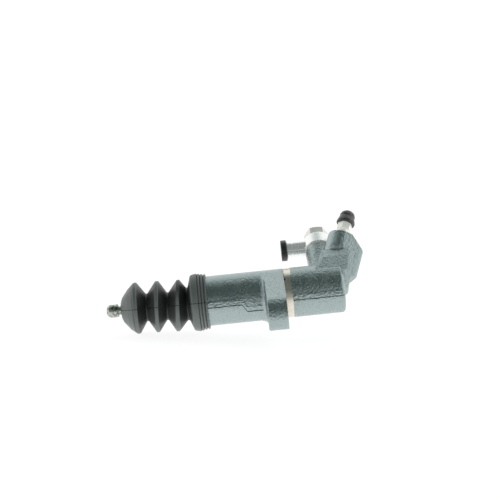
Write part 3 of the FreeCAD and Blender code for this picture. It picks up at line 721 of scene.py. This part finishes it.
def cut_profile(line, from_x, to_x):
    """Part of a profile between two places, with a point worked out at each cut."""
    inside = line[(line[:, 0] <= from_x) & (line[:, 0] >= to_x)]
    first, last = [np.array([(x, np.interp(-x, -line[:, 0], line[:, 1]))])
                   if line[:, 0].min() < x < line[:, 0].max() else inside[:0]
                   for x in (from_x, to_x)]
    return np.concatenate([first, inside, last])


def cuff_rib(index):
    """Corners of one rib round the cuff, each further along and larger than the last."""
    start = cuff_end - index * rib_pitch
    top_r = first_rib_r + index * rib_growth
    return [(start - rib_rise[0], top_r - rib_rise_height),
            (start - rib_rise[1], top_r, rib_rounds[0]),
            (start - rib_fall[0], top_r, rib_rounds[1]),
            (start - rib_fall[1], top_r - rib_fall_height)]


def outer_skin():
    """Profile of the outer skin, from the cuff's end to the rod's hole."""
    corners = [(cuff_end, cuff_lip_r)]
    for i in range(rib_count):
        corners += cuff_rib(i)
    corners += [(mouth + cuff_band + cuff_band_slope, cuff_r - cuff_band_depth),
                (mouth + cuff_band, cuff_r, cuff_band_slope),
                (mouth - shoulder_past_mouth, shoulder_r, shoulder_round),
                (first_rim + first_valley_to_rim, first_valley_r, valley_round)]
    for i in range(rim_count):
        rim = first_rim - i * rim_pitch
        corners += [(rim + rim_half, rim_r, rim_round), (rim - rim_half, rim_r, rim_round)]
        if i < rim_count - 1:
            corners.append((rim - rim_pitch / 2, valley_r - valley_corner, valley_round))
    corners += [(last_rim - dome_past_rim, dome_r, dome_round),
                (last_rim - dome_end_past_rim, dome_end_r, dome_end_round),
                (nose, nose_r, nose_round), (nose, rod_hole_r)]
    return profile(corners)


def inner_skin():
    """Profile of the inner skin, a wall inside the outer one, with the cuff's bead."""
    corners = [(cuff_end, barrel_r + fit_gap), (bead_start, barrel_r + fit_gap),
               (bead_start, bead_r), (bead_end, bead_r), (bead_end, mouth_land_r),
               (mouth - fit_gap, mouth_land_r), (mouth - fit_gap, mouth_hole_r),
               (first_rim + first_valley_to_rim, first_valley_r - slant_wall, valley_round)]
    for i in range(rim_count):
        rim = first_rim - i * rim_pitch
        corners.append((rim, rim_r - slant_wall + rim_thinning, rim_inner_round))
        if i < rim_count - 1:
            corners.append((rim - rim_pitch / 2, valley_r - slant_wall, valley_round + wall))
    corners += [(last_rim - dome_past_rim + wall, dome_r - slant_wall, dome_round),
                (nose + nose_wall, nose_r, nose_round), (nose + nose_wall, rod_hole_r)]
    return profile(corners)


def boot_piece(name, from_x, to_x):
    """Boot between two places, as a closed ring of both skins turned about the axis.

    A point (x, r) of the ring at an angle stands r sin(angle) aside and
    r cos(angle) up. Its x then moves by the lean there times its height, and its
    height by the sag there, both read off straight lines between a few places.
    """
    outer = cut_profile(outer_skin(), from_x, to_x)
    inner = cut_profile(inner_skin(), from_x, to_x)
    ring = np.concatenate([outer, inner[::-1]])
    angle = np.linspace(0, 2 * math.pi, round_samples, endpoint=False)
    ring_x, reach = ring[:, :1], ring[:, 1:]
    up = reach * np.cos(angle)
    lean = np.interp(-ring_x, -bend_at, bend_lean)
    sag = np.interp(-ring_x, -bend_at, bend_sag)
    points = np.stack([ring_x + lean * up, reach * np.sin(angle), axis_rise + up + sag], axis=-1)
    return grid_piece(name, points, True)


# The rubber has a mould line in the plane through its axis that the camera sees
# edge on, a pale tone on its rims, front dome and nose that is part dusty bloom and
# part painted sheen, painted light on the slopes that face the rod's end, and a fine grain.
rubber_dark = plain_tone(0.006, 0.007, 0.007)
rubber_light = plain_tone(0.020, 0.023, 0.022)
rubber_dust_and_sheen = plain_tone(0.17, 0.195, 0.185)
rubber_line = plain_tone(0.004, 0.004, 0.004)
mould_line_half = (0.08 * mm, 0.30 * mm)
mould_line_depth = 0.12 * mm
bloom_size = 6.0 * mm
bloom_depth = 0.15 * mm
grain_size = 0.5 * mm
grain_depth = 0.02 * mm
nose_dust_and_sheen_x = (-93.0 * mm, -94.5 * mm)
nose_dust_and_sheen = 0.8
rim_dust_and_sheen_r = (15.2 * mm, 15.7 * mm)
rim_dust_and_sheen = 0.75
slope_light_facing = (-0.85, -0.35)
slope_light_share = 0.3
slope_light_height = (-12.0 * mm, 8.0 * mm)
slope_light_above = 0.5
bloom_stretch = (2.0, 1.0, 1.0)
rubber_roughness = (0.34, 0.48)

rubber, tree = shader_tree("boot_rubber")
place, x, y, z = object_place(tree)
height = maths(tree, "SUBTRACT", z, axis_rise)
off_line = maths(tree, "MULTIPLY_ADD", y, level_up.y, maths(tree, "MULTIPLY", height, level_up.z))
mould_line = ramped(tree, maths(tree, "ABSOLUTE", off_line), *mould_line_half, 1.0, 0.0)
bloom = noise(tree, place, bloom_size, 4.0, bloom_stretch)
grain = noise(tree, place, grain_size, 3.0)
# Pale tone on the nose, front dome and rim bands: part dusty bloom, part painted sheen.
on_nose = maths(tree, "MULTIPLY", ramped(tree, x, *nose_dust_and_sheen_x), nose_dust_and_sheen)
on_rim = ramped(tree, maths(tree, "SQRT", squares(tree, y, height)), *rim_dust_and_sheen_r, 0.0, rim_dust_and_sheen)
normal = added(tree, "ShaderNodeNewGeometry").outputs["Normal"]
facing = added(tree, "ShaderNodeSeparateXYZ", {0: normal}).outputs[0]
# Painted light on the slopes that face the rod's end, stronger low down.
painted_slope_light = maths(tree, "MULTIPLY",
                 ramped(tree, facing, *slope_light_facing, slope_light_share, 0.0),
                 ramped(tree, height, *slope_light_height, 1.0, slope_light_above))
dust_and_sheen_share = chained(tree, "MAXIMUM", on_nose, on_rim, painted_slope_light)
tone = mixed_colour(tree, bloom, rubber_dark, rubber_light)
tone = mixed_colour(tree, dust_and_sheen_share, tone, rubber_dust_and_sheen)
tone = mixed_colour(tree, mould_line, tone, rubber_line)
relief = maths(tree, "MULTIPLY", grain, grain_depth)
relief = maths(tree, "MULTIPLY_ADD", mould_line, -mould_line_depth, relief)
relief = maths(tree, "MULTIPLY_ADD", bloom, bloom_depth, relief)
surfaced(tree, tone, ramped(tree, bloom, *usual_noise, *rubber_roughness), relief)

bellows = boot_piece("boot_bellows", cuff_end, parting_split)
front = boot_piece("boot_front", parting_split, nose)
for piece in (bellows, front):
    piece.data.materials.append(rubber)
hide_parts("dust_boot")
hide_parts("dust_boot")
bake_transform(bellows)
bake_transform(front)


# Union, bolt and bleeder
# Bright zinc plate, almost white on its sides, with faint turning marks; the union
# and the bleeder also glow faintly, which is painted light. The washers are a plain
# soft metal, and the flare seat inside the union is brass.
zinc = metal_finish("bright_zinc", dark=(0.86, 0.88, 0.86), light=(0.96, 0.97, 0.96),
                    roughness=0.24, marks=0.9 * mm, depth=0.005 * mm, metallic=0.7, painted_glow=0.10)
ivory = metal_finish("pale_zinc", dark=(0.72, 0.73, 0.68), light=(0.92, 0.92, 0.87),
                     roughness=0.26, marks=0.7 * mm, depth=0.006 * mm, metallic=0.2, painted_glow=0.24)
bolt = metal_finish("bolt_zinc", dark=(0.52, 0.50, 0.46), light=(0.80, 0.79, 0.76),
                    roughness=0.22, marks=0.8 * mm, depth=0.02 * mm, patch=3.0 * mm)
soft_metal = metal_finish("seal_washer", dark=(0.62, 0.62, 0.60), light=(0.76, 0.76, 0.74),
                          roughness=0.32, marks=0.6 * mm, depth=0.01 * mm)
brass = metal_finish("seat_brass", dark=(0.68, 0.52, 0.26), light=(0.80, 0.64, 0.36),
                     roughness=0.26, marks=0.5 * mm, depth=0.01 * mm)
dressed("union_fitting", zinc)
dressed("union_bolt", bolt)
dressed("union_washer_lower", soft_metal)
dressed("union_washer_upper", soft_metal)
dressed("tube_seat", brass)
dressed("bleeder_screw", ivory)


# Bleeder cap and transit plug
# Moulded black rubber gone grey with bloom, and a dark green-black plastic plug.
moulded_bloom_size = 2.2 * mm
moulded_bloom_depth = 0.08 * mm
moulded_bloom_range = (0.35, 0.65)
moulded_grain_depth = 0.03 * mm
moulded_shine = {"IOR": 1.6, "Specular IOR Level": 0.6}


def moulded(name, dark, light, roughness, grain_size):
    """Black moulding with a pale bloom in patches and a fine satin grain."""
    material, tree = shader_tree(name)
    place = object_place(tree)[0]
    bloom = noise(tree, place, moulded_bloom_size, 4.0)
    grain = noise(tree, place, grain_size, 3.0)
    share = ramped(tree, bloom, *moulded_bloom_range)
    tone = mixed_colour(tree, share, plain_tone(*dark), plain_tone(*light))
    relief = maths(tree, "MULTIPLY", bloom, moulded_bloom_depth)
    relief = maths(tree, "MULTIPLY_ADD", grain, moulded_grain_depth, relief)
    surfaced(tree, tone, roughness, relief, moulded_shine)
    return material


cap_rubber = moulded("cap_rubber", dark=(0.012, 0.013, 0.012), light=(0.075, 0.08, 0.075),
                     roughness=0.38, grain_size=0.5 * mm)
plug_plastic = moulded("plug_plastic", dark=(0.018, 0.021, 0.018), light=(0.035, 0.04, 0.036),
                       roughness=0.34, grain_size=0.4 * mm)
dressed("bleeder_cap", cap_rubber)
dressed("port_plug", plug_plastic)
